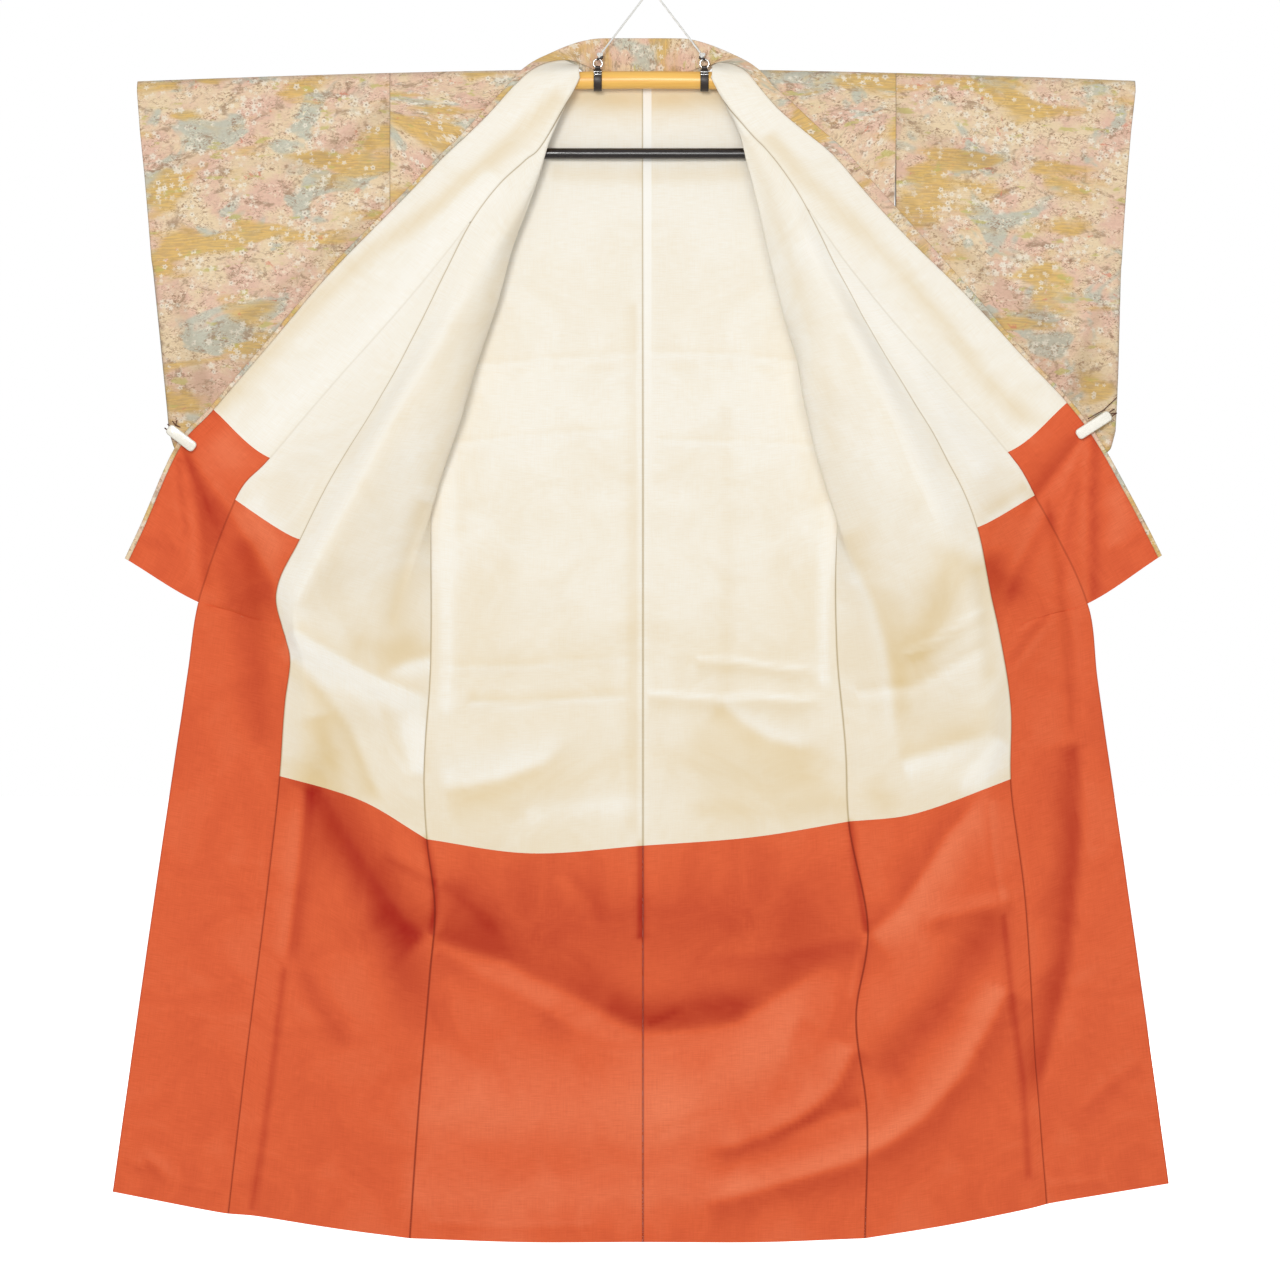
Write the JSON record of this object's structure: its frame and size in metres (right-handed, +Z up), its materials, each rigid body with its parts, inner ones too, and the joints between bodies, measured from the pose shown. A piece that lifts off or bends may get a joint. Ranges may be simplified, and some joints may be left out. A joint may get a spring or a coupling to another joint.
{
  "type": "lined kimono on a hanging rod",
  "caption": "Lined tsumugi kimono on a wooden rod, its fronts folded open to show cream and orange linings, with two cord-hung clamps and two sleeve clips.",
  "frame": {"origin": "centre of the hang ring, 124 mm above the rod's axis", "axes": "+Z up the hanging garment, +X to the viewer's right along the rod, +Y away from the viewer, who sees the lining"},
  "size_m": [1.4238, 0.0925, 1.7051],
  "materials": {
    "silk": "matte slubbed silk, patterned",
    "cream": "soft plain silk lining",
    "orange": "plain silk hem lining",
    "wood": "clear satin",
    "black": "satin",
    "steel": "polished",
    "cord": "braided",
    "white": "satin"
  },
  "bodies": {
    "root": {"bar": "black", "body_left": "silk", "body_lining_left": "cream", "body_lining_right": "cream", "body_right": "silk", "clamp_left": "black", "clamp_right": "black", "clip_left": "white", "clip_right": "white", "collar": "silk", "collar_end_lining_left": "orange", "collar_end_lining_right": "orange", "collar_lining_left": "cream", "collar_lining_right": "cream", "cord_left": "cord", "cord_right": "cord", "eye_left": "steel", "eye_right": "steel", "hang_ring": "steel", "hem_lining_back_left": "orange", "hem_lining_back_right": "orange", "hem_lining_front_left": "orange", "hem_lining_front_right": "orange", "knot_left": "cord", "knot_right": "cord", "link_left": "black", "link_right": "black", "okumi_hem_lining_left": "orange", "okumi_hem_lining_right": "orange", "okumi_left": "silk", "okumi_lining_left": "cream", "okumi_lining_right": "cream", "okumi_right": "silk", "rod": "wood", "sleeve_left": "silk", "sleeve_right": "silk"}
  },
  "joints": []
}
